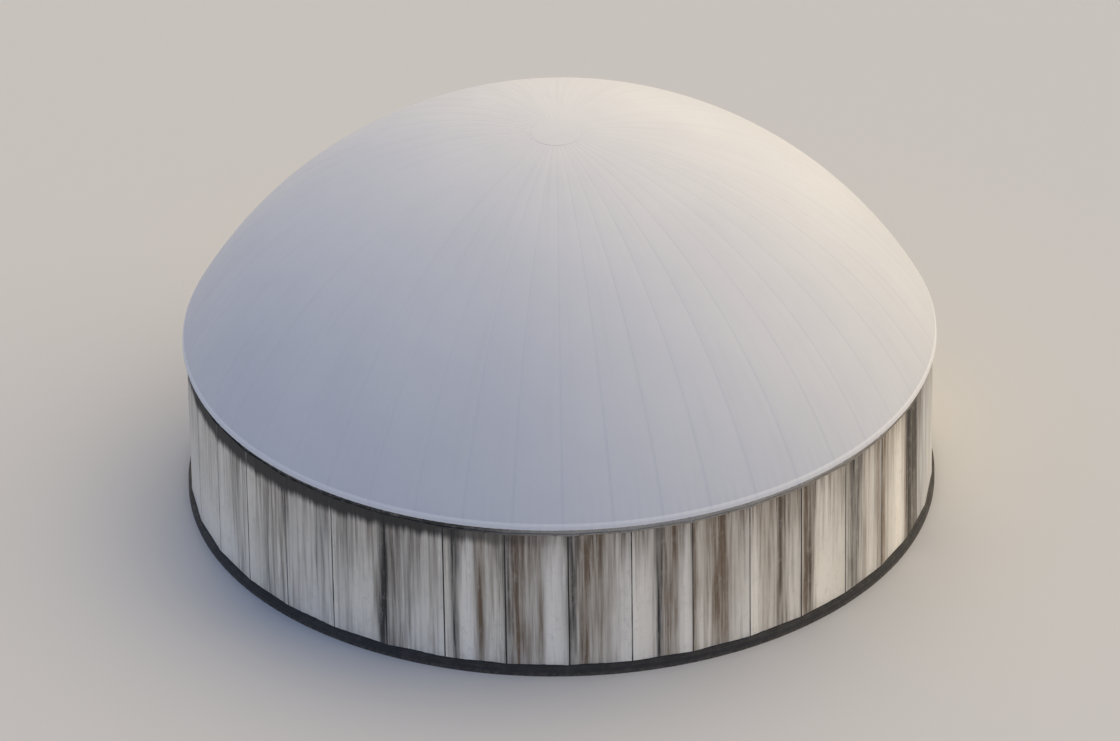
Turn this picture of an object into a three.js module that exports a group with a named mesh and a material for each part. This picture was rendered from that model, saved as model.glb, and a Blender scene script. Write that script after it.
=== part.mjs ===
import * as THREE from 'three';

// Biogas digester: a round tank of precast concrete panels on a cast floor plate, closed by an air-held
// membrane dome that is clamped to the top of the wall. Millimetres, +Z up, origin at the middle of the
// plate's underside. -Y is the side that the photograph looks at.

// Driving dimensions
const PANELS = 38;
const WALL_RADIUS = 19000;
const WALL_THICKNESS = 280;
const WALL_HEIGHT = 8300;
const FIRST_JOINT_DEGREES = 0.8;
const JOINT_WIDTH = 70;
const JOINT_DEPTH = 35;
const PLATE_RADIUS = 19150;
const PLATE_THICKNESS = 450;
const RAIL_HEIGHT = 600;
const RAIL_THICKNESS = 90;
const RAIL_ARCS = [10, 9, 10, 9];
const DOME_RADIUS = 19180;
const DOME_RISE = 11400;
const SHELL_THICKNESS = 80;
const SKIRT_DROP = 200;
const DOME_SIDES = 2 * PANELS;
const DOME_RINGS = 14;
const CONTACT_GAP = 0.3;

// Heights and radii that follow from them
const PANEL_ANGLE = (2 * Math.PI) / PANELS;
const WALL_FOOT = PLATE_THICKNESS + CONTACT_GAP;
const WALL_TOP = WALL_FOOT + WALL_HEIGHT;
const WALL_FACE = WALL_RADIUS * Math.cos(PANEL_ANGLE / 2);
const SKIRT_FOOT = WALL_TOP - SKIRT_DROP;
const RAIL_TOP = WALL_TOP - 50;
const SPHERE_RADIUS = (DOME_RADIUS ** 2 + DOME_RISE ** 2) / (2 * DOME_RISE);

const concrete = { color: 0xaaa79e, roughness: 0.9, metalness: 0.0 };
const tarredConcrete = { color: 0x2b2b2e, roughness: 0.75, metalness: 0.0 };
const darkSteel = { color: 0x3b3d3f, roughness: 0.55, metalness: 0.6 };
const membrane = { color: 0xb4b6bd, roughness: 0.5, metalness: 0.0 };

// Angle round the tank, in radians from +X, of the joint at the left of panel number `index`
function jointAngle(index) {
  return -Math.PI / 2 + THREE.MathUtils.degToRad(FIRST_JOINT_DEGREES) + index * PANEL_ANGLE;
}

function onCircle(radius, angle) {
  return new THREE.Vector2(radius * Math.cos(angle), radius * Math.sin(angle));
}

function addPiece(group, name, geometry, look) {
  const piece = new THREE.Mesh(geometry, new THREE.MeshStandardMaterial(look));
  piece.name = name;
  group.add(piece);
  return piece;
}

// A plan outline given height, standing at `foot`
function standingPrism(outline, foot, height) {
  const geometry = new THREE.ExtrudeGeometry(new THREE.Shape(outline), {
    depth: height,
    bevelEnabled: false,
  });
  return geometry.translate(0, 0, foot);
}

// A profile of [radius, height] points turned round the tank's upright axis, its corners on the joints
function turned(profile, sides) {
  const points = profile.map(([radius, height]) => new THREE.Vector2(radius, height));
  const geometry = new THREE.LatheGeometry(points, sides);
  geometry.rotateX(Math.PI / 2);
  return geometry.rotateZ(jointAngle(0));
}

// Floor plate: one cast disc that carries the wall and shows as a dark coated foot all round
function floorPlate() {
  const profile = [
    [0, 0],
    [PLATE_RADIUS, 0],
    [PLATE_RADIUS, PLATE_THICKNESS],
    [0, PLATE_THICKNESS],
  ];
  return turned(profile, DOME_SIDES);
}

// One flat wall panel: mitred ends that meet its neighbours, and stepped-back outer edges, so that each
// pair leaves a shallow recess for the joint sealant
function wallPanel() {
  const halfAngle = PANEL_ANGLE / 2;
  const mitre = Math.tan(halfAngle);
  const outerX = WALL_FACE;
  const rebateX = WALL_FACE - JOINT_DEPTH;
  const innerX = WALL_FACE - WALL_THICKNESS;
  const halfGap = CONTACT_GAP / 2 / Math.cos(halfAngle);
  const faceY = outerX * mitre - JOINT_WIDTH / 2;
  const rebateY = rebateX * mitre - halfGap;
  const innerY = innerX * mitre - halfGap;
  const outline = [
    [innerX, -innerY],
    [rebateX, -rebateY],
    [rebateX, -faceY],
    [outerX, -faceY],
    [outerX, faceY],
    [rebateX, faceY],
    [rebateX, rebateY],
    [innerX, innerY],
  ].map(([x, y]) => new THREE.Vector2(x, y));
  return standingPrism(outline, WALL_FOOT, WALL_HEIGHT);
}

// One length of the clamp rail: a flat-sided band that follows the panel faces under the membrane's edge
function clampRail(firstPanel, panelCount) {
  const inner = (WALL_FACE + CONTACT_GAP) / Math.cos(PANEL_ANGLE / 2);
  const outer = (WALL_FACE + RAIL_THICKNESS) / Math.cos(PANEL_ANGLE / 2);
  const endGap = CONTACT_GAP / inner;
  const angles = [];
  for (let corner = 0; corner <= panelCount; corner += 1) {
    angles.push(jointAngle(firstPanel + corner));
  }
  angles[panelCount] -= endGap;
  const outline = angles.map((angle) => onCircle(outer, angle));
  outline.push(...angles.reverse().map((angle) => onCircle(inner, angle)));
  return standingPrism(outline, RAIL_TOP - RAIL_HEIGHT, RAIL_HEIGHT);
}

// A point of the dome's skin, `inset` inside the sphere that air pressure gives it, over a share (0 to 1) of
// the dome's radius
function skinPoint(share, inset) {
  const lean = Math.asin((DOME_RADIUS * share) / SPHERE_RADIUS);
  const reach = SPHERE_RADIUS - inset;
  const centreHeight = WALL_TOP + DOME_RISE - SPHERE_RADIUS;
  return [reach * Math.sin(lean), centreHeight + reach * Math.cos(lean)];
}

// Membrane dome: an air-held shell that rests on the wall's crown and hangs a short skirt over the rail
function membraneDome() {
  const skirtInner = DOME_RADIUS - SHELL_THICKNESS;
  const seat = WALL_TOP + CONTACT_GAP;
  const rings = Array.from({ length: DOME_RINGS + 1 }, (_, ring) => ring / DOME_RINGS);
  const lastShare = rings[DOME_RINGS - 1];
  const outside = rings.map((share) => skinPoint(share, 0)).reverse();
  const inside = rings.filter((share) => share <= lastShare).map((share) => skinPoint(share, SHELL_THICKNESS));
  const innerEdge = [WALL_FACE - 140, seat];
  const skirt = [
    [skirtInner, seat],
    [skirtInner, SKIRT_FOOT],
    [DOME_RADIUS, SKIRT_FOOT],
  ];
  return turned([...inside, innerEdge, ...skirt, ...outside], DOME_SIDES);
}

const digester = new THREE.Group();
addPiece(digester, 'floor_plate', floorPlate(), tarredConcrete);

for (let index = 0; index < PANELS; index += 1) {
  const number = String(index + 1).padStart(2, '0');
  const panel = addPiece(digester, `wall_panel_${number}`, wallPanel(), concrete);
  panel.rotation.z = jointAngle(index) + PANEL_ANGLE / 2;
}

let railStart = 0;
RAIL_ARCS.forEach((panelCount, index) => {
  addPiece(digester, `clamp_rail_${index + 1}`, clampRail(railStart, panelCount), darkSteel);
  railStart += panelCount;
});

addPiece(digester, 'membrane_dome', membraneDome(), membrane);

export default digester;
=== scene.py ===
import math
import random

import bmesh
import bpy
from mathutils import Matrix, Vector, noise


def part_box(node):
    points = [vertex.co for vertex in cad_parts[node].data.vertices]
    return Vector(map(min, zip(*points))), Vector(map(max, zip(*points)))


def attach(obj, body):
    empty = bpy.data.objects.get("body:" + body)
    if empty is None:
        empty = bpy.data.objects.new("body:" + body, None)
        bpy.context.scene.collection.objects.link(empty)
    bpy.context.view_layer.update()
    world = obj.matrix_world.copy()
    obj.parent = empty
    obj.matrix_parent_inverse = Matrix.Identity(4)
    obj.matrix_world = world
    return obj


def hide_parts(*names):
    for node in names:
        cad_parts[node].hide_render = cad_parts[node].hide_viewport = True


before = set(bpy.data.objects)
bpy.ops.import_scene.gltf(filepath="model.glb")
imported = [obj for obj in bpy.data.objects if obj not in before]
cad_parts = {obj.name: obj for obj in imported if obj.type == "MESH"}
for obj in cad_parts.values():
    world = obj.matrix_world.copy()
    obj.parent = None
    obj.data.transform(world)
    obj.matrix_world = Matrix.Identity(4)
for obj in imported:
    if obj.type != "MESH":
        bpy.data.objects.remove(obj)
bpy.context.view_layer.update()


# Floor plate: one round plate of cast concrete that the whole tank stands on. Only its edge and a narrow
# ledge show, brushed with thick black bitumen; the arris is rounded, and splashed soil has dried on the coat.
PLATE_SIDES = 304
ARRIS_RADIUS = 0.03
EDGE_WAVE = 0.006
LEDGE_WIDTH = 0.6
BITUMEN = (0.022, 0.021, 0.021, 1)
DUSTY_BITUMEN = (0.06, 0.055, 0.05, 1)
SPLASHED_SOIL = (0.11, 0.09, 0.07, 1)
plate_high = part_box("floor_plate")[1]
plate_radius = plate_high.x
plate_top = plate_high.z


def make_piece(name, points, faces, slot, closed=True):
    mesh = bpy.data.meshes.new(name)
    mesh.from_pydata(points, [], faces)
    if closed:
        shell = bmesh.new()
        shell.from_mesh(mesh)
        bmesh.ops.recalc_face_normals(shell, faces=shell.faces)
        shell.to_mesh(mesh)
        shell.free()
    mesh.shade_smooth()
    mesh.set_sharp_from_angle(angle=math.radians(32))
    piece = bpy.data.objects.new(name, mesh)
    bpy.context.scene.collection.objects.link(piece)
    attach(piece, "root")
    return piece


def add_node(tree, kind, feeds=None, **settings):
    """A shader node with its settings; each feed is a plain value or another node's output."""
    made = tree.nodes.new(kind)
    for setting, value in settings.items():
        setattr(made, setting, value)
    for socket, feed in (feeds or {}).items():
        if isinstance(feed, bpy.types.NodeSocket):
            tree.links.new(feed, made.inputs[socket])
        else:
            made.inputs[socket].default_value = feed
    return made


def start_finish(name, **sockets):
    """A new material, its node tree and its shader, with the plain values of the shader's sockets."""
    finish = bpy.data.materials.new(name)
    finish.use_nodes = True
    shader = finish.node_tree.nodes["Principled BSDF"]
    for socket, value in sockets.items():
        shader.inputs[socket.replace("_", " ")].default_value = value
    return finish, finish.node_tree, shader


def place_in_tank(tree):
    return add_node(tree, "ShaderNodeTexCoord").outputs["Object"]


def grain(tree, stretch, scale, detail=5.0, roughness=0.6):
    """Noise over the tank, in metres, drawn out by stretch along X, Y and Z."""
    spread = add_node(tree, "ShaderNodeMapping", {"Vector": place_in_tank(tree), "Scale": stretch})
    feeds = {"Vector": spread.outputs[0], "Scale": scale, "Detail": detail, "Roughness": roughness}
    return add_node(tree, "ShaderNodeTexNoise", feeds).outputs[0]


def remap(tree, value, low, high, to_low=0.0, to_high=1.0):
    feeds = {"Value": value, "From Min": low, "From Max": high, "To Min": to_low, "To Max": to_high}
    return add_node(tree, "ShaderNodeMapRange", feeds, interpolation_type="SMOOTHSTEP").outputs[0]


def sums(tree, way, *feeds):
    """The sum of the feeds in the given way, kept between 0 and 1."""
    made = add_node(tree, "ShaderNodeMath", dict(enumerate(feeds)), operation=way, use_clamp=True)
    return made.outputs[0]


def times(tree, first, second):
    return sums(tree, "MULTIPLY", first, second)


def raised(tree, value, share, base):
    """The base, raised by a share of the value."""
    made = add_node(tree, "ShaderNodeMath", {0: value, 1: share, 2: base}, operation="MULTIPLY_ADD")
    return made.outputs[0]


def layer(tree, share, under, over, way="MIX"):
    """One colour laid over another by share."""
    mix = add_node(tree, "ShaderNodeMix", {0: share, 6: under, 7: over}, data_type="RGBA", blend_type=way)
    return mix.outputs[2]


def height_in_tank(tree):
    return add_node(tree, "ShaderNodeSeparateXYZ", {0: place_in_tank(tree)}).outputs["Z"]


def relief(tree, shader, pattern, depth, strength=1.0):
    feeds = {"Height": pattern, "Distance": depth, "Strength": strength}
    tree.links.new(add_node(tree, "ShaderNodeBump", feeds).outputs[0], shader.inputs["Normal"])


def bitumen_coat():
    finish, tree, shader = start_finish("bitumen_coat")
    brushed = grain(tree, (1, 1, 6), 9)
    dust = times(tree, remap(tree, grain(tree, (1, 1, 1), 1.4), 0.42, 0.75), 0.55)
    spots = remap(tree, grain(tree, (1, 1, 1), 5), 0.3, 0.7)
    splash = times(tree, remap(tree, height_in_tank(tree), 0.3, 0.0), spots)
    dusty = layer(tree, dust, BITUMEN, DUSTY_BITUMEN)
    tree.links.new(layer(tree, splash, dusty, SPLASHED_SOIL), shader.inputs["Base Color"])
    tree.links.new(remap(tree, brushed, 0.3, 0.7, 0.5, 0.85), shader.inputs["Roughness"])
    relief(tree, shader, brushed, 0.012)
    return finish


def turned_plate():
    """The plate as a turned shape, its edge waved a few millimetres as formwork leaves it."""
    rim = plate_radius - EDGE_WAVE
    profile = [(rim, height) for height in (0.0, 0.12, 0.26, plate_top - ARRIS_RADIUS)]
    for step in range(1, 6):
        turn = math.radians(18 * step)
        inward = ARRIS_RADIUS * (1 - math.cos(turn))
        profile.append((rim - inward, plate_top - ARRIS_RADIUS * (1 - math.sin(turn))))
    profile.append((rim - LEDGE_WIDTH, plate_top))
    points, faces = [(0, 0, 0), (0, 0, plate_top)], []
    for side in range(PLATE_SIDES):
        angle = 2 * math.pi * side / PLATE_SIDES
        across = Vector((math.cos(angle), math.sin(angle), 0))
        for radius, height in profile:
            wave = EDGE_WAVE * noise.noise((across * plate_radius + Vector((0, 0, 2 * height))) * 0.7)
            points.append(tuple(across * (radius + wave) + Vector((0, 0, height))))
    rows = len(profile)
    for side in range(PLATE_SIDES):
        here = 2 + side * rows
        there = 2 + (side + 1) % PLATE_SIDES * rows
        faces.append((0, there, here))
        faces.append((1, here + rows - 1, there + rows - 1))
        for row in range(rows - 1):
            faces.append((here + row, there + row, there + row + 1, here + row + 1))
    return make_piece("foot_plate", points, faces, "coated_concrete")


foot_plate = turned_plate()
foot_plate.data.materials.append(bitumen_coat())
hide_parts("floor_plate")


# Wall panels: flat slabs of precast concrete, cast in steel forms and stood side by side on the plate with
# mitred ends. Rain carries soot, rust and algae down from the rim, darkest beside the joints; narrow strips
# that the rain washes clean stay pale. Under the rail a painted shade darkens the side away from the sun, and
# low down a painted light makes the wall paler out of the full sun.
PANEL_NODES = sorted(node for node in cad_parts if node.startswith("wall_panel_"))
PANEL_COUNT = len(PANEL_NODES)
PANEL_STEP = 2 * math.pi / PANEL_COUNT
PANEL_ROWS = 15
FACE_COLUMNS = 60
CHAMFER = 0.012
JOINT_DEPTH = 0.035
JOINT_HALF_WIDTH = 0.035
PANEL_END_GAP = 0.0002
SUNNY_SIDE = Vector((0.88, 0.47, 0))
PALE_CONCRETE = (0.81, 0.74, 0.60, 1)
CLOUDED_CONCRETE = (0.70, 0.636, 0.512, 1)
GREYED_CONCRETE = (0.50, 0.51, 0.53, 1)
BROAD_GRIME = (0.44, 0.39, 0.32, 1)
FINE_GRIME = (0.42, 0.37, 0.30, 1)
MOTTLED_GRIME = (0.46, 0.43, 0.37, 1)
SOOT = (0.036, 0.033, 0.028, 1)
RUST_BROWN = (0.172, 0.118, 0.074, 1)
WASHED = (0.92, 0.86, 0.75, 1)
DRIED_SPLASH = (0.24, 0.215, 0.18, 1)
OPEN_PORE = (0.2, 0.19, 0.18, 1)
# Streaks that show in front: degrees round from the middle of the front, half width in degrees, strength
SOOT_STREAKS = [
    (-59, 2.0, 0.29), (-51.5, 2.5, 0.42), (-47, 1.7, 0.32), (-39, 1.4, 0.53), (-34.5, 2.0, 0.34),
    (-28, 1.2, 1.00), (-26, 1.6, 0.39), (-23.5, 1.6, 0.25), (-16.5, 0.9, 1.00), (-8.5, 1.1, 0.75),
    (1.2, 1.2, 0.85), (14.5, 0.8, 1.00), (35, 1.4, 0.35), (40.5, 1.3, 0.49), (50.5, 2.1, 0.83),
    (67.5, 1.9, 1.00), (70.3, 2.1, 1.00), (74, 1.4, 0.20), (79, 5.8, 0.12),
]
BROWN_STREAKS = [
    (-46, 5.4, 0.18), (-27, 2.8, 0.59), (-20, 0.9, 0.29), (-12.5, 1.0, 0.89), (-7, 2.7, 0.94),
    (-3.5, 0.7, 0.76), (3.3, 1.2, 1.00), (5.5, 2.4, 0.62), (16, 1.9, 0.91), (20, 0.6, 0.95),
    (24.3, 2.5, 1.00), (32, 1.4, 0.40), (35, 1.6, 0.56), (37, 3.7, 0.14), (40, 1.6, 1.00),
    (53, 1.2, 0.38), (58, 2.2, 0.81), (66.8, 1.5, 1.00), (69.5, 3.3, 1.00),
]
WASHED_STREAKS = [
    (-64, 1.8, 0.55), (-55.5, 1.4, 0.36), (-42, 1.8, 0.20), (-14.5, 1.4, 1.00), (-1.5, 2.2, 1.00),
    (11, 4.2, 0.85), (18.5, 0.9, 0.98), (30, 1.4, 0.64), (43.5, 3.7, 0.55), (54.5, 1.4, 0.34),
    (63.5, 2.5, 1.00),
]
# The film of dirt that thins out downward from the rail; its brown is densest right of the middle
FILM_DEPTH = 2.1
SOOT_IN_FILM = 0.14
BROWN_IN_FILM = 0.58
MORE_BROWN = 0.36
MORE_BROWN_AT = 20
MORE_BROWN_HALF_WIDTH = 24
# The back, which the photograph doesn't show, in degrees round from the middle of the front
HIDDEN_FROM = 88
HIDDEN_TO = 276
# How far the fine runs break up the edge of a stain
RAGGEDNESS = 1.3
# Panels that have gone greyer than the rest, counted as the beads are below
GREY_PANELS = {5: 0.4, 6: 0.4, 7: 0.8, 8: 0.8, 9: 0.9, -7: 0.15, -8: 0.15, -9: 0.2}
panel_low, panel_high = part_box(PANEL_NODES[0])
wall_foot, wall_top = panel_low.z, panel_high.z
rail_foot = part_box("clamp_rail_1")[0].z


def panel_lie(node):
    """Which way a panel faces, and how far its outer and inner faces are from the tank's axis."""
    places = {(round(v.co.x, 4), round(v.co.y, 4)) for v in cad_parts[node].data.vertices}
    corners = [Vector((x, y, 0)) for x, y in sorted(places)]
    outward = sum(corners, Vector()).normalized()
    reaches = [corner.dot(outward) for corner in corners]
    return outward, max(reaches), min(reaches)


def degrees_past(degrees, at):
    """How far round the tank a direction is past another, from -180 to 180 degrees."""
    return (degrees - at + 180) % 360 - 180


def hidden_streaks(chance, spread, seed):
    """Streaks for the back: of the same kinds as in front, at the joints and the middles of panels."""
    draw = random.Random(seed)
    streaks = []
    for half_step in range(2 * PANEL_COUNT):
        degrees = HIDDEN_FROM + half_step * 180 / PANEL_COUNT
        if degrees < HIDDEN_TO and draw.random() < chance:
            streaks.append((degrees + draw.uniform(-0.8, 0.8), draw.uniform(0.4, 1.4), draw.uniform(*spread)))
    return streaks


def streak_share(streaks, degrees, height, seed):
    """How strongly a family of streaks covers a point of the wall, from 0 to 1."""
    bare = 1.0
    for at, half_width, strength in streaks:
        away = degrees_past(degrees, at)
        if abs(away) > 3 * half_width:
            continue
        drift = 0.22 * half_width * noise.noise(Vector((at * 3.1 + seed, height * 0.35, 0)))
        fade = 1.0 - 0.14 * math.exp((wall_foot - height) / 1.8)
        fade += 0.25 * noise.noise(Vector((at * 1.7 + seed, height * 0.22, 5.0)))
        bare *= 1 - min(1.0, strength * fade * math.exp(-(((away - drift) / half_width) ** 2) * 1.6))
    return 1 - bare


def one_over_other(first, second):
    """The share of the wall that two stains cover together."""
    return 1 - (1 - first) * (1 - second)


def paint_streaks(piece):
    """Stores each point's share of soot, brown and washed streaks for the concrete's finish."""
    shares = {"soot": [], "brown": [], "washed": []}
    for vertex in piece.data.vertices:
        x, y, height = vertex.co
        degrees = math.degrees(math.atan2(x, -y)) % 360
        film = math.exp(-(wall_top - height) / FILM_DEPTH)
        widths_past = degrees_past(degrees, MORE_BROWN_AT) / MORE_BROWN_HALF_WIDTH
        brown_film = film * (BROWN_IN_FILM + MORE_BROWN * math.exp(-(widths_past**2)))
        soot = streak_share(soot_streaks, degrees, height, 1.0)
        brown = streak_share(brown_streaks, degrees, height, 2.0)
        shares["soot"].append(one_over_other(SOOT_IN_FILM * film, soot))
        shares["brown"].append(one_over_other(brown_film, brown))
        shares["washed"].append(streak_share(washed_streaks, degrees, height, 3.0))
    for kind, values in shares.items():
        piece.data.attributes.new(kind, "FLOAT", "POINT").data.foreach_set("value", values)


def share_of(tree, kind):
    return add_node(tree, "ShaderNodeAttribute", attribute_name=kind).outputs["Fac"]


def side_for_painted_light_and_shade(tree, starts=-0.40, full=-0.78):
    """A mask for painted light and shade: 1 on the side of the tank that the sun doesn't reach, 0 on the
    sunny side.
    """
    feeds = {0: place_in_tank(tree), 1: (1, 1, 0)}
    flat = add_node(tree, "ShaderNodeVectorMath", feeds, operation="MULTIPLY")
    facing = add_node(tree, "ShaderNodeVectorMath", {0: flat.outputs[0]}, operation="NORMALIZE")
    feeds = {0: facing.outputs[0], 1: SUNNY_SIDE}
    toward = add_node(tree, "ShaderNodeVectorMath", feeds, operation="DOT_PRODUCT")
    return remap(tree, toward.outputs["Value"], starts, full)


def stain(tree, kind, runs):
    """How much of a stain shows: the painted share, broken up by the fine runs, most along its edges."""
    share = share_of(tree, kind)
    ragged = sums(tree, "SUBTRACT", raised(tree, runs, RAGGEDNESS, share), RAGGEDNESS / 2)
    spread = times(tree, ragged, remap(tree, share, 0.0, 0.12))
    return times(tree, spread, remap(tree, runs, 0.38, 0.60, 0.76, 1.0))


def painted_light_low_down(tree):
    """Painted light: the wall made paler low down, out of the full sun."""
    low_down = remap(tree, height_in_tank(tree), 4.6, 1.6, 0.0, 0.35)
    return times(tree, low_down, side_for_painted_light_and_shade(tree, 0.5, 0.2))


def soot_and_shade_under_rail(tree, runs, broad_runs):
    """The black band under the rail, soot together with painted shade on the side the sun doesn't reach; its
    ragged edge hangs lowest where the sun never comes.
    """
    reach = raised(tree, broad_runs, 0.5, height_in_tank(tree))
    reach = raised(tree, runs, 0.5, reach)
    reach = raised(tree, side_for_painted_light_and_shade(tree, -0.80, -0.99), 0.3, reach)
    dark_band = remap(tree, reach, rail_foot - 0.35, rail_foot + 0.2, 0.0, 0.95)
    return times(tree, dark_band, side_for_painted_light_and_shade(tree))


def soil_splash(tree):
    """Soil that rain has thrown against the foot of the wall, in patches."""
    low_down = remap(tree, height_in_tank(tree), wall_foot + 0.7, wall_foot + 0.1)
    return times(tree, low_down, remap(tree, grain(tree, (1, 1, 1), 3.5), 0.35, 0.7, 0.0, 0.2))


def panel_concrete():
    finish, tree, shader = start_finish("panel_concrete")
    clouds = remap(tree, grain(tree, (1, 1, 0.5), 0.55, 3), 0.35, 0.65)
    runs = grain(tree, (1, 1, 0.035), 5.5, 6, 0.6)
    broad_runs = grain(tree, (1, 1, 0.03), 1.6, 3, 0.6)
    mottle = grain(tree, (1, 1, 0.7), 2.8, 7, 0.65)
    pores = grain(tree, (1, 1, 1), 30, 8, 0.7)
    soot = stain(tree, "soot", runs)
    coats = [
        (clouds, CLOUDED_CONCRETE),
        (share_of(tree, "tone"), GREYED_CONCRETE),
        (remap(tree, broad_runs, 0.5, 0.75, 0.0, 0.25), BROAD_GRIME),
        (stain(tree, "washed", runs), WASHED),
        # Painted light: the wall made paler low down on the side out of the full sun
        (painted_light_low_down(tree), WASHED),
        (remap(tree, runs, 0.5, 0.72, 0.0, 0.24), FINE_GRIME),
        (stain(tree, "brown", runs), RUST_BROWN),
        (soot, SOOT),
        (remap(tree, mottle, 0.5, 0.72, 0.0, 0.3), MOTTLED_GRIME),
        # Soot with painted shade: the dark band under the rail on the side away from the sun
        (soot_and_shade_under_rail(tree, runs, broad_runs), SOOT),
        (soil_splash(tree), DRIED_SPLASH),
        (remap(tree, pores, 0.62, 0.75, 0.0, 0.35), OPEN_PORE),
    ]
    colour = PALE_CONCRETE
    for share, coat in coats:
        colour = layer(tree, share, colour, coat)
    tree.links.new(colour, shader.inputs["Base Color"])
    tree.links.new(remap(tree, soot, 0.0, 0.8, 0.92, 0.72), shader.inputs["Roughness"])
    relief(tree, shader, pores, 0.006)
    return finish


def upright_prism(outline, heights):
    """Points and faces of a plan outline carried straight up through the given heights."""
    around = len(outline)
    points = [(x, y, height) for height in heights for x, y in outline]
    faces = [tuple(range(around)), tuple(range((len(heights) - 1) * around, len(heights) * around))]
    for row in range(len(heights) - 1):
        for at in range(around):
            beside = (at + 1) % around
            low, high = row * around, (row + 1) * around
            faces.append((low + at, low + beside, high + beside, high + at))
    return points, faces


def shortened(along):
    """Draws a point near a panel's end in a little, so that neighbours don't touch."""
    return along if abs(along) < 0.1 else along - math.copysign(PANEL_END_GAP, along)


def make_panel(node, finish, draw):
    outward, face, back = panel_lie(node)
    sideways = Vector((-outward.y, outward.x, 0))
    mitre = math.tan(PANEL_STEP / 2)
    half_face = face * mitre - JOINT_HALF_WIDTH
    step = face - JOINT_DEPTH
    side = [(back, back * mitre), (step, step * mitre), (step, half_face), (face - CHAMFER, half_face)]
    flat = half_face - CHAMFER
    front = [(face, flat - column * 2 * flat / FACE_COLUMNS) for column in range(FACE_COLUMNS + 1)]
    plan = side + front + [(out, -along) for out, along in reversed(side)]
    plan = [(out, shortened(along)) for out, along in plan]
    outline = [tuple((outward * out + sideways * along).xy) for out, along in plan]
    heights = [wall_foot + (wall_top - wall_foot) * row / PANEL_ROWS for row in range(PANEL_ROWS + 1)]
    panel = make_piece(node.replace("wall_", "cast_"), *upright_prism(outline, heights), "panel_concrete")
    from_front = round(math.atan2(outward.x, -outward.y) / PANEL_STEP - 0.5)
    greyest = 0.25 if abs(from_front) < 10 else 0.6
    tone = draw.uniform(0.0, greyest)
    tone = GREY_PANELS.get(from_front, tone)
    tones = [tone] * len(panel.data.vertices)
    panel.data.attributes.new("tone", "FLOAT", "POINT").data.foreach_set("value", tones)
    paint_streaks(panel)
    panel.data.materials.append(finish)
    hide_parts(node)


soot_streaks = SOOT_STREAKS + hidden_streaks(0.45, (0.15, 0.6), 11)
brown_streaks = BROWN_STREAKS + hidden_streaks(0.5, (0.2, 0.6), 12)
washed_streaks = WASHED_STREAKS + hidden_streaks(0.4, (0.2, 0.6), 13)
concrete_with_stains_light_and_shade = panel_concrete()
panel_draw = random.Random(5)
for panel_node in PANEL_NODES:
    make_panel(panel_node, concrete_with_stains_light_and_shade, panel_draw)


# Joint sealant: a bead of black polysulphide gunned into each recess between two panels and tooled hollow.
# It has weathered unevenly, so some beads are greyer and dustier than others.
SEALANT_ROWS = 24
SEALANT_SETBACK = 0.014
SEALANT_HOLLOW = 0.008
SEALANT_CLEARANCE = 0.001
FRESH_SEALANT = (0.02, 0.019, 0.018, 1)
DUSTY_SEALANT = (0.36, 0.34, 0.30, 1)
# Beads that have gone pale with dust and lime, counted from the middle of the front toward the right
DUSTY_BEADS = {1: 0.95, 2: 0.35, 3: 0.95, 5: 0.45, 6: 0.4, -4: 0.8, -5: 0.7, -6: 0.8, -7: 0.8}
CLEAN_BEAD = 0.05
LAST_BEAD_IN_FRONT = 9
first_outward, wall_face = panel_lie(PANEL_NODES[0])[:2]
first_joint = math.atan2(first_outward.y, first_outward.x) - PANEL_STEP / 2


def sealant_rubber():
    finish, tree, shader = start_finish("joint_sealant")
    dust = times(tree, share_of(tree, "tone"), remap(tree, grain(tree, (1, 1, 0.1), 6), 0.3, 0.7))
    tree.links.new(layer(tree, dust, FRESH_SEALANT, DUSTY_SEALANT), shader.inputs["Base Color"])
    tree.links.new(remap(tree, grain(tree, (1, 1, 0.3), 12), 0.3, 0.7, 0.6, 0.9), shader.inputs["Roughness"])
    return finish


def joint_beads():
    points, faces, tones = [], [], []
    draw = random.Random(21)
    corner = wall_face / math.cos(PANEL_STEP / 2)
    half = JOINT_HALF_WIDTH - 1.5 * SEALANT_CLEARANCE
    recess = corner - JOINT_DEPTH + SEALANT_CLEARANCE
    foot = wall_foot + SEALANT_CLEARANCE
    tall = wall_top - wall_foot - 2 * SEALANT_CLEARANCE
    heights = [foot + tall * row / SEALANT_ROWS for row in range(SEALANT_ROWS + 1)]
    for joint in range(PANEL_COUNT):
        angle = first_joint + joint * PANEL_STEP
        outward = Vector((math.cos(angle), math.sin(angle), 0))
        sideways = Vector((-outward.y, outward.x, 0))
        plan = [(recess, half), (recess, -half)]
        for step in range(7):
            across = -1 + step / 3
            plan.append((corner - SEALANT_SETBACK - SEALANT_HOLLOW * (1 - across * across), across * half))
        outline = [tuple((outward * out + sideways * along).xy) for out, along in plan]
        bead_points, bead_faces = upright_prism(outline, heights)
        start = len(points)
        points.extend(bead_points)
        faces.extend(tuple(start + index for index in face) for face in bead_faces)
        from_front = round((math.degrees(angle) + 90) / math.degrees(PANEL_STEP)) % PANEL_COUNT
        from_front -= PANEL_COUNT if from_front > PANEL_COUNT / 2 else 0
        weathered = draw.uniform(0.0, 0.9) ** 2
        hidden = abs(from_front) > LAST_BEAD_IN_FRONT
        tone = weathered if hidden else DUSTY_BEADS.get(from_front, CLEAN_BEAD)
        tones.extend([tone] * len(bead_points))
    beads = make_piece("joint_sealant", points, faces, "rail_steel")
    beads.data.attributes.new("tone", "FLOAT", "POINT").data.foreach_set("value", tones)
    return beads


beads = joint_beads()
beads.data.materials.append(sealant_rubber())


# Foot seal: after the panels were stood, a cove of bitumen mastic was trowelled into the corner between wall
# and plate, and the coat was brushed a little way up the concrete, with the uneven edge a wide brush leaves.
COAT_HEIGHT = 0.13
COAT_THICKNESS = 0.004
COVE_RADIUS = 0.06
STATIONS_PER_PANEL = 28
SEAL_OFF_WALL = 0.0003


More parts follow.
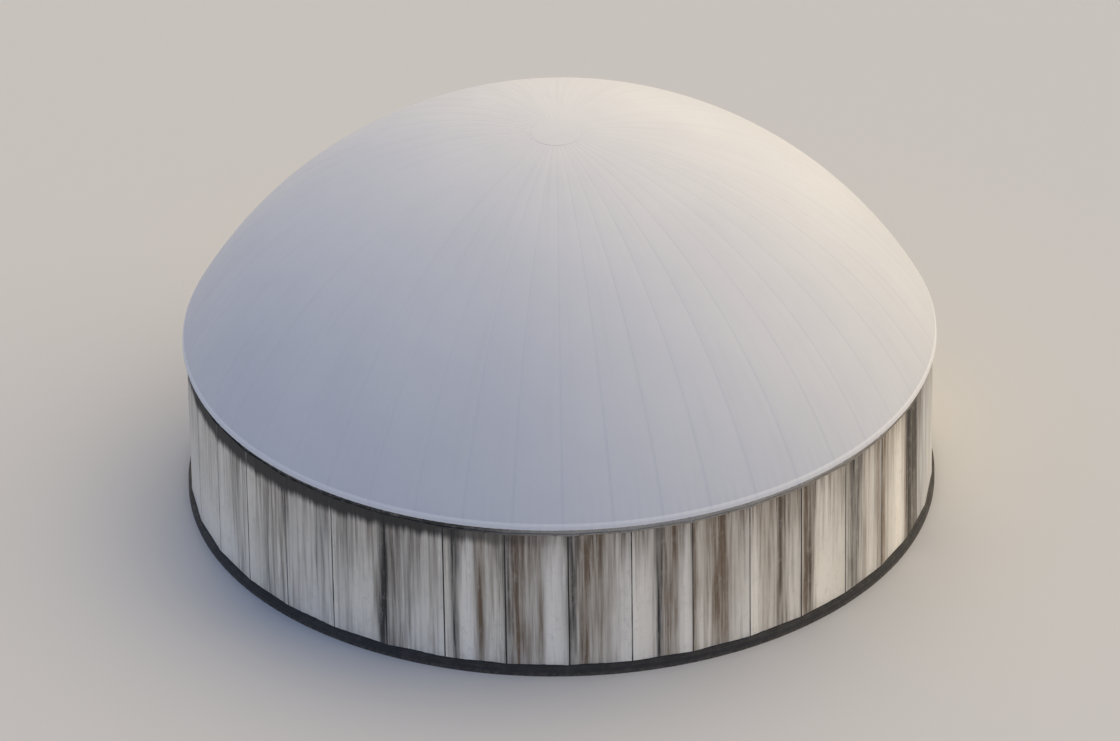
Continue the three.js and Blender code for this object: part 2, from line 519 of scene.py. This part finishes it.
def wall_point(distance, travel):
    """A point this far from the axis, measured square to the panel, after travel panels round the wall."""
    panel = math.floor(travel)
    angle = first_joint + (panel + 0.5) * PANEL_STEP
    along = (travel - panel - 0.5) * 2 * distance * math.tan(PANEL_STEP / 2)
    x = math.cos(angle) * distance - math.sin(angle) * along
    y = math.sin(angle) * distance + math.cos(angle) * along
    return x, y


def swept_band(travels, profile_at, ring):
    """A closed section carried along the wall: a ring joins up, and a length gets end caps."""
    points, faces = [], []
    for travel in travels:
        section = profile_at(travel)
        points.extend((*wall_point(wall_face + out, travel), height) for out, height in section)
    around = len(section)
    stops = len(travels)
    for stop in range(stops if ring else stops - 1):
        here, there = stop * around, (stop + 1) % stops * around
        for at in range(around):
            beside = (at + 1) % around
            faces.append((here + at, there + at, there + beside, here + beside))
    if not ring:
        faces.append(tuple(range(around)))
        faces.append(tuple(range((stops - 1) * around, stops * around)))
    return points, faces


def foot_seal_section(travel):
    top = wall_foot + COAT_HEIGHT
    top += 0.035 * noise.noise(Vector((travel * 2.3, 0, 0)))
    top += 0.02 * noise.noise(Vector((travel * 11.0, 4, 0)))
    section = [(SEAL_OFF_WALL, top), (COAT_THICKNESS, top - COAT_THICKNESS)]
    for step in range(6):
        turn = math.radians(18 * step)
        outward = COAT_THICKNESS + COVE_RADIUS * (1 - math.cos(turn))
        section.append((outward, wall_foot + 0.003 + COVE_RADIUS * (1 - math.sin(turn))))
    section.append((COAT_THICKNESS + COVE_RADIUS + 0.002, wall_foot))
    section.append((SEAL_OFF_WALL, wall_foot))
    return section


travels = [station / STATIONS_PER_PANEL for station in range(PANEL_COUNT * STATIONS_PER_PANEL)]
foot_seal = make_piece("foot_seal", *swept_band(travels, foot_seal_section, True), "coated_concrete")
foot_seal.data.materials.append(foot_plate.data.materials[0])


# Clamp rail: the membrane's edge is pinched against the top of the wall over a strip of black rubber by a
# galvanized steel channel in panel-long lengths, joined by bent fishplates and held by anchor bolts through
# its web. On the side away from the sun the steel is painted nearly black, soot and algae together with
# painted shade, and the sunny side is still grey; the rubber's pale dust lies mostly on the sunny side as
# painted light.
RAIL_NODES = sorted(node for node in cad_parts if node.startswith("clamp_rail_"))
RUBBER_THICKNESS = 0.012
RUBBER_OFF_WALL = 0.0004
CHANNEL_HEIGHT = 0.30
CHANNEL_DEPTH = 0.072
CHANNEL_STEEL = 0.008
CHANNEL_END_GAP = 0.006
CHANNEL_ABOVE_RUBBER = 0.12
FISHPLATE_STEEL = 0.01
FISHPLATE_MARGIN = 0.05
# Half the length of a fishplate, and how far its bolts sit from the joint, as shares of a panel
FISHPLATE_REACH = 0.045
FISHPLATE_BOLT_AT = 0.028
FISHPLATE_BOLT_HEIGHTS = (0.1, 0.2)
BOLTS_PER_PANEL = 8
BOLT_ACROSS_FLATS = 0.036
CORNER_PER_FLATS = 0.577
ASSEMBLY_GAP = 0.0005
WASHER_GAP = 0.0001
DARK_ZINC = (0.44, 0.42, 0.39, 1)
PALE_ZINC = (0.58, 0.55, 0.50, 1)
RAIL_GRIME_AND_SHADE = (0.028, 0.028, 0.026, 1)
EDGE_RUBBER = (0.022, 0.022, 0.022, 1)
DUST_AND_LIGHT_ON_RUBBER = (0.38, 0.34, 0.28, 1)
rail_low, rail_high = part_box(RAIL_NODES[0])
channel_foot = rail_low.z + CHANNEL_ABOVE_RUBBER


def weathered_zinc():
    finish, tree, shader = start_finish("weathered_zinc", Metallic=0.35)
    spangle = grain(tree, (1, 1, 1), 14, 4)
    zinc = layer(tree, remap(tree, spangle, 0.35, 0.65), DARK_ZINC, PALE_ZINC)
    grime = remap(tree, grain(tree, (1, 1, 1.5), 2.2, 6, 0.65), 0.2, 0.6, 0.55, 1.0)
    # Painted shade with grime: the grime is laid on thickest on the side away from the sun
    grime_and_shade = times(tree, remap(tree, side_for_painted_light_and_shade(tree), 0, 1, 0.22, 0.96), grime)
    tree.links.new(layer(tree, grime_and_shade, zinc, RAIL_GRIME_AND_SHADE), shader.inputs["Base Color"])
    tree.links.new(remap(tree, spangle, 0.3, 0.7, 0.5, 0.75), shader.inputs["Roughness"])
    relief(tree, shader, grime, 0.004)
    return finish


def edge_rubber():
    finish, tree, shader = start_finish("edge_rubber")
    # Painted light with dust: the pale dust is laid on mostly on the sunny side
    painted_light_side = remap(tree, side_for_painted_light_and_shade(tree), 0, 1, 0.9, 0.1)
    dust = times(tree, remap(tree, grain(tree, (1, 1, 0.4), 4, 6), 0.2, 0.55), painted_light_side)
    tree.links.new(layer(tree, dust, EDGE_RUBBER, DUST_AND_LIGHT_ON_RUBBER), shader.inputs["Base Color"])
    tree.links.new(remap(tree, grain(tree, (1, 1, 1), 20), 0.3, 0.7, 0.65, 0.9), shader.inputs["Roughness"])
    return finish


def rubber_section(travel):
    foot = rail_low.z + 0.006 * noise.noise(Vector((travel * 3.0, 1, 0)))
    inner, outer, top = RUBBER_OFF_WALL, RUBBER_THICKNESS, rail_high.z
    return [(inner, foot), (outer, foot), (outer, top), (inner, top)]


def channel_section(_travel):
    inner = RUBBER_THICKNESS + ASSEMBLY_GAP
    outer = inner + CHANNEL_DEPTH
    top = channel_foot + CHANNEL_HEIGHT
    return [
        (inner, channel_foot), (outer, channel_foot), (outer, channel_foot + CHANNEL_STEEL),
        (inner + CHANNEL_STEEL, channel_foot + CHANNEL_STEEL), (inner + CHANNEL_STEEL, top - CHANNEL_STEEL),
        (outer, top - CHANNEL_STEEL), (outer, top), (inner, top),
    ]


def fishplate_section(_travel):
    inner = RUBBER_THICKNESS + CHANNEL_STEEL + 2 * ASSEMBLY_GAP
    outer = inner + FISHPLATE_STEEL
    foot = channel_foot + FISHPLATE_MARGIN
    top = channel_foot + CHANNEL_HEIGHT - FISHPLATE_MARGIN
    return [(inner, foot), (outer, foot), (outer, top), (inner, top)]


def anchor_bolt(travel, height, seat):
    """Washer, hexagon nut and stud end, standing square to the panel on the web of the channel."""
    points, faces = [], []
    middle = Vector((*wall_point(wall_face + seat, travel), height))
    angle = first_joint + (math.floor(travel) + 0.5) * PANEL_STEP
    outward = Vector((math.cos(angle), math.sin(angle), 0))
    sideways = Vector((-outward.y, outward.x, 0))
    # Each has its sides, its radius, and where it starts and ends, measured out from its seat
    washer = (12, 0.034, 0.0, 0.005)
    nut = (6, BOLT_ACROSS_FLATS * CORNER_PER_FLATS, 0.005, 0.023)
    stud = (8, 0.011, 0.023, 0.036)
    for sides, radius, low, high in (washer, nut, stud):
        start = len(points)
        for reach, shrink in ((low, 1.0), (high - 0.002, 1.0), (high, 0.9)):
            for side in range(sides):
                turn = 2 * math.pi * side / sides
                rim = sideways * math.cos(turn) + Vector((0, 0, math.sin(turn)))
                points.append(tuple(middle + outward * reach + rim * radius * shrink))
        for ring in range(2):
            for side in range(sides):
                beside = (side + 1) % sides
                low_ring, high_ring = start + ring * sides, start + (ring + 1) * sides
                faces.append((low_ring + side, low_ring + beside, high_ring + beside, high_ring + side))
        faces.append(tuple(range(start, start + sides)))
        faces.append(tuple(range(start + 2 * sides, start + 3 * sides)))
    return points, faces


def gather(parts):
    """Several loose shapes as one list of points and one of faces."""
    points, faces = [], []
    for part_points, part_faces in parts:
        start = len(points)
        points.extend(part_points)
        faces.extend(tuple(start + index for index in face) for face in part_faces)
    return points, faces


def rail_lengths(first, count):
    """Channels, fishplates and bolts over count panels."""
    channels, plates, bolts = [], [], []
    end = CHANNEL_END_GAP / (wall_face * PANEL_STEP)
    web = RUBBER_THICKNESS + ASSEMBLY_GAP + CHANNEL_STEEL + WASHER_GAP
    on_fishplate = web + FISHPLATE_STEEL + ASSEMBLY_GAP
    for panel in range(first, first + count):
        channels.append(swept_band([panel + end, panel + 1 - end - 1e-6], channel_section, False))
        joint = [panel - FISHPLATE_REACH, panel, panel + FISHPLATE_REACH]
        plates.append(swept_band(joint, fishplate_section, False))
        for bolt in range(BOLTS_PER_PANEL):
            across = panel + (bolt + 0.5) / BOLTS_PER_PANEL
            bolts.append(anchor_bolt(across, channel_foot + CHANNEL_HEIGHT / 2, web))
        for across in (panel - FISHPLATE_BOLT_AT, panel + FISHPLATE_BOLT_AT):
            for height in FISHPLATE_BOLT_HEIGHTS:
                bolts.append(anchor_bolt(across, channel_foot + height, on_fishplate))
    return gather(channels), gather(plates), gather(bolts)


rubber_travels = [station / 4 for station in range(PANEL_COUNT * 4)]
edge_strip = make_piece("edge_rubber", *swept_band(rubber_travels, rubber_section, True), "rail_steel")
edge_strip.data.materials.append(edge_rubber())
zinc = weathered_zinc()
rail_start = 0
for rail_node in RAIL_NODES:
    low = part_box(rail_node)[0]
    # The foot of a length has an outer and an inner corner at each panel joint that it reaches
    feet = [vertex.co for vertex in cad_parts[rail_node].data.vertices if vertex.co.z < low.z + 0.01]
    covered = len({(round(co.x, 2), round(co.y, 2)) for co in feet}) // 2 - 1
    number = rail_node.rsplit("_", 1)[1]
    stems = ("rail_channel_", "rail_fishplates_", "rail_bolts_")
    for stem, shape in zip(stems, rail_lengths(rail_start, covered)):
        piece = make_piece(stem + number, *shape, "rail_steel")
        piece.data.materials.append(zinc)
        if stem == "rail_channel_":
            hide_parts(rail_node)
    rail_start += covered


# Membrane dome: gores of smooth coated polyester, welded edge over edge and held up by a little air pressure.
# Between the welds each gore swells slightly, the clamped edge puckers, and a lighter hem with a rope in it
# hangs over the rail.
GORES = 48
GORE_COLUMNS = 24
ROW_LENGTH = 0.36
WELD_OVERLAP = 0.06
WELD_THICKNESS = 0.004
WELD_RISE = 0.02
WELD_EDGE = 0.001
MEMBRANE_THICKNESS = 0.002
GORE_SWELL = 0.005
PUCKER_DEPTH = 0.007
PUCKERS_PER_GORE = 5
SKIRT_DROP = 0.2
# Where the sphere ends and the bend into the skirt starts, as a share of the radius
SHOULDER_AT = 0.972
# The pale hem starts this far above the springing, and is full at the second height
HEM_STARTS = 0.16
HEM_FULL = 0.10
ROPE_RADIUS = 0.018
CROWN_PATCH_RADIUS = 1.25
PATCH_RINGS = 8
PATCH_SIDES = 96
PATCH_LIFT = 0.008
PATCH_EDGE_LIFT = 0.001
# How far in from the rim the puckers die out and the swell sets in, and how far out from the crown it does
PUCKER_REACH = 0.8
SWELL_FROM_RIM = 1.5
SWELL_FROM_CROWN = 6.0
ROOM_FOR_ROPE = 0.01
ROOM_FOR_SWELL = 0.005
# The membrane is unrolled at this radius for the run-off in its finish
RUN_RADIUS = 19.0
COOL_MEMBRANE = (0.525, 0.535, 0.565, 1)
WARM_MEMBRANE = (0.55, 0.558, 0.58, 1)
RUN_OFF = (0.42, 0.42, 0.42, 1)
PALE_HEM = (0.68, 0.68, 0.69, 1)
dome_low, dome_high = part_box("membrane_dome")
dome_radius = dome_high.x - ROOM_FOR_ROPE
springing = dome_low.z + SKIRT_DROP
dome_rise = dome_high.z - springing - ROOM_FOR_SWELL
sphere_radius = (dome_radius**2 + dome_rise**2) / (2 * dome_rise)


def dome_height(radius):
    """Height of the sphere that the air pressure blows the membrane to."""
    return springing + dome_rise - sphere_radius + math.sqrt(sphere_radius**2 - radius**2)


def gore_profile():
    """Radius and height down the dome, from under the crown patch to the rope in the hem."""
    profile = [(CROWN_PATCH_RADIUS * 0.75, dome_height(CROWN_PATCH_RADIUS * 0.75))]
    shoulder = dome_radius * SHOULDER_AT
    while profile[-1][0] < shoulder:
        radius = profile[-1][0]
        radius = min(shoulder, radius + ROW_LENGTH * math.sqrt(1 - (radius / sphere_radius) ** 2))
        profile.append((radius, dome_height(radius)))
    start = profile[-1]
    end = (dome_radius, springing - 0.04)
    for step in range(1, 9):
        t = step / 8
        weights = ((1 - t) ** 2, 2 * t * (1 - t), t * t)
        bend = (start, (dome_radius, springing + 0.06), end)
        profile.append(tuple(sum(w * p[axis] for w, p in zip(weights, bend)) for axis in (0, 1)))
    hem_foot = dome_low.z + 2 * ROPE_RADIUS
    profile.append((dome_radius, (end[1] + hem_foot) / 2))
    profile.append((dome_radius, hem_foot))
    for step in range(1, 7):
        turn = math.radians(30 * step)
        bulge = ROPE_RADIUS * 0.55 * math.sin(turn)
        profile.append((dome_radius + bulge, dome_low.z + ROPE_RADIUS * (1 + math.cos(turn))))
    return profile


def profile_normals(profile):
    normals = []
    for row, (radius, height) in enumerate(profile):
        before, after = profile[max(row - 1, 0)], profile[min(row + 1, len(profile) - 1)]
        along = Vector((after[0] - before[0], after[1] - before[1])).normalized()
        normals.append((-along.y, along.x))
    return normals


def make_gore(number, profile, normals, finish):
    """One gore, swelling between its welds, puckered at the rim and lapped over the next gore."""
    draw = random.Random(300 + number)
    phase = draw.uniform(0, math.tau)
    step_angle = 2 * math.pi / GORES
    points, runs, area = [], [], 0.0
    travelled = [0.0]
    for (r0, z0), (r1, z1) in zip(profile, profile[1:]):
        travelled.append(travelled[-1] + math.hypot(r1 - r0, z1 - z0))
    edge_run = travelled[-1] - SKIRT_DROP
    for row, ((radius, height), (out, up)) in enumerate(zip(profile, normals)):
        width = radius * step_angle
        from_rim = abs(edge_run - travelled[row])
        columns = [(column / GORE_COLUMNS, 0.0) for column in range(GORE_COLUMNS + 1)]
        columns.append((1 + WELD_RISE / width, WELD_THICKNESS))
        columns.append((1 + WELD_OVERLAP / width, WELD_THICKNESS))
        columns.append((1 + (WELD_OVERLAP + WELD_EDGE) / width, 0.0))
        for share, lap in columns:
            swell = GORE_SWELL * (1 - (2 * min(share, 1) - 1) ** 2)
            swell *= min(1.0, radius / SWELL_FROM_CROWN, from_rim / SWELL_FROM_RIM)
            wave = math.sin(2 * math.pi * PUCKERS_PER_GORE * share + phase)
            wave *= math.sin(math.pi * min(share, 1.0)) * math.exp(-from_rim / PUCKER_REACH)
            lift = swell + PUCKER_DEPTH * wave + lap
            angle = (number + share) * step_angle
            reach = radius + lift * out
            points.append((reach * math.cos(angle), reach * math.sin(angle), height + lift * up))
            runs.append((angle * RUN_RADIUS, travelled[row], 0.0))
        if row:
            area += (width + last_width + 2 * WELD_OVERLAP) / 2 * (travelled[row] - travelled[row - 1])
        last_width = width
    across = len(columns)
    faces = []
    for row in range(len(profile) - 1):
        for column in range(across - 1):
            low, high = row * across + column, (row + 1) * across + column
            faces.append((low, high, high + 1, low + 1))
    gore = make_piece(f"membrane_gore_{number + 1:02d}", points, faces, "membrane", closed=False)
    flat_runs = [value for run in runs for value in run]
    gore.data.attributes.new("run", "FLOAT_VECTOR", "POINT").data.foreach_set("vector", flat_runs)
    gore.data.materials.append(finish)
    thickness = gore.modifiers.new("thickness", "SOLIDIFY")
    thickness.thickness = MEMBRANE_THICKNESS
    thickness.offset = -1
    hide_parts("membrane_dome")
    return gore


def coated_polyester():
    finish, tree, shader = start_finish("coated_polyester", Specular_IOR_Level=0.3)
    run = add_node(tree, "ShaderNodeAttribute", attribute_name="run").outputs["Vector"]
    drawn_out = add_node(tree, "ShaderNodeMapping", {"Vector": run, "Scale": (1.6, 0.09, 1)})
    feeds = {"Vector": drawn_out.outputs[0], "Scale": 1.0, "Detail": 6.0}
    runs = add_node(tree, "ShaderNodeTexNoise", feeds).outputs[0]
    clouds = remap(tree, grain(tree, (1, 1, 1), 0.16, 3), 0.3, 0.7)
    colour = layer(tree, clouds, COOL_MEMBRANE, WARM_MEMBRANE)
    colour = layer(tree, remap(tree, runs, 0.5, 0.8, 0.0, 0.13), colour, RUN_OFF)
    hem = remap(tree, height_in_tank(tree), springing + HEM_STARTS, springing + HEM_FULL)
    tree.links.new(layer(tree, hem, colour, PALE_HEM), shader.inputs["Base Color"])
    tree.links.new(remap(tree, runs, 0.35, 0.75, 0.48, 0.62), shader.inputs["Roughness"])
    relief(tree, shader, grain(tree, (1, 1, 1), 6, 3), 0.002)
    return finish


def crown_patch(finish):
    """A round patch welded over the tips of the gores, its edge turned down on to them."""
    points, faces = [(0, 0, dome_height(0) + PATCH_LIFT)], []
    for ring in range(1, PATCH_RINGS + 2):
        radius = CROWN_PATCH_RADIUS * min(ring, PATCH_RINGS) / PATCH_RINGS
        height = dome_height(radius) + (PATCH_LIFT if ring <= PATCH_RINGS else PATCH_EDGE_LIFT)
        for side in range(PATCH_SIDES):
            angle = 2 * math.pi * side / PATCH_SIDES
            points.append((radius * math.cos(angle), radius * math.sin(angle), height))
    for side in range(PATCH_SIDES):
        beside = (side + 1) % PATCH_SIDES
        faces.append((0, 1 + side, 1 + beside))
        for ring in range(PATCH_RINGS):
            low, high = 1 + ring * PATCH_SIDES, 1 + (ring + 1) * PATCH_SIDES
            faces.append((low + side, high + side, high + beside, low + beside))
    patch = make_piece("crown_patch", points, faces, "membrane", closed=False)
    runs = [part for x, y, _ in points for part in (math.atan2(y, x) * RUN_RADIUS, math.hypot(x, y), 0.0)]
    patch.data.attributes.new("run", "FLOAT_VECTOR", "POINT").data.foreach_set("vector", runs)
    patch.data.materials.append(finish)


membrane_finish = coated_polyester()
profile = gore_profile()
normals = profile_normals(profile)
for gore_number in range(GORES):
    make_gore(gore_number, profile, normals, membrane_finish)
crown_patch(membrane_finish)


# Studio: a plain pale floor, a broad warm key light from behind on the right as in the photograph, cool light
# all round, and a camera that looks down on the tank from the photograph's angle through a long lens.
FLOOR_HALF = 1500.0
FLOOR_HEIGHT = -0.002
FLOOR_GREY = (0.50, 0.50, 0.50, 1)
KEY_AZIMUTH = 43.0
KEY_HEIGHT = 32.0
KEY_STRENGTH = 4.0
KEY_COLOUR = (1.0, 0.785, 0.425)
KEY_SPREAD = 115.0
SKY_COLOUR = (0.56, 0.69, 1.0, 1)
SKY_STRENGTH = 0.67
CAMERA_HEIGHT_ANGLE = 31.0
CAMERA_DISTANCE = 468.0
CAMERA_ROLL = 0.85
PICTURE_WIDTH = 1120
PIXELS_PER_METRE = 19.6
AIM_HEIGHT = 6.2

floor_mesh = bpy.data.meshes.new("studio_floor")
quarters = [(-1, -1), (1, -1), (1, 1), (-1, 1)]
floor_corners = [(x * FLOOR_HALF, y * FLOOR_HALF, FLOOR_HEIGHT) for x, y in quarters]
floor_mesh.from_pydata(floor_corners, [], [(0, 1, 2, 3)])
floor = bpy.data.objects.new("studio_floor", floor_mesh)
bpy.context.scene.collection.objects.link(floor)
floor_finish = start_finish("studio_floor", Roughness=0.9, Base_Color=FLOOR_GREY)[0]
floor_mesh.materials.append(floor_finish)

key = bpy.data.objects.new("key_light", bpy.data.lights.new("key_light", "SUN"))
key.data.energy = KEY_STRENGTH
key.data.color = KEY_COLOUR
key.data.angle = math.radians(KEY_SPREAD)
round_key, up_key = math.radians(KEY_AZIMUTH), math.radians(KEY_HEIGHT)
toward_key = Vector((math.cos(round_key), math.sin(round_key), math.tan(up_key)))
key.rotation_euler = toward_key.to_track_quat("Z", "Y").to_euler()
bpy.context.scene.collection.objects.link(key)

world = bpy.data.worlds.new("sky_fill")
world.use_nodes = True
background = world.node_tree.nodes["Background"]
background.inputs["Color"].default_value = SKY_COLOUR
background.inputs["Strength"].default_value = SKY_STRENGTH
bpy.context.scene.world = world
bpy.context.scene.view_settings.view_transform = "Standard"

camera = bpy.data.objects.new("camera", bpy.data.cameras.new("camera"))
down = math.radians(CAMERA_HEIGHT_ANGLE)
back = Vector((0, -math.cos(down), math.sin(down)))
camera.location = Vector((0, 0, AIM_HEIGHT)) + back * CAMERA_DISTANCE
camera.rotation_euler = (-back).to_track_quat("-Z", "Y").to_euler()
camera.rotation_euler.rotate_axis("Z", math.radians(-CAMERA_ROLL))
camera.data.lens = camera.data.sensor_width * PIXELS_PER_METRE * CAMERA_DISTANCE / PICTURE_WIDTH
camera.data.clip_end = 3000
bpy.context.scene.collection.objects.link(camera)
bpy.context.scene.camera = camera
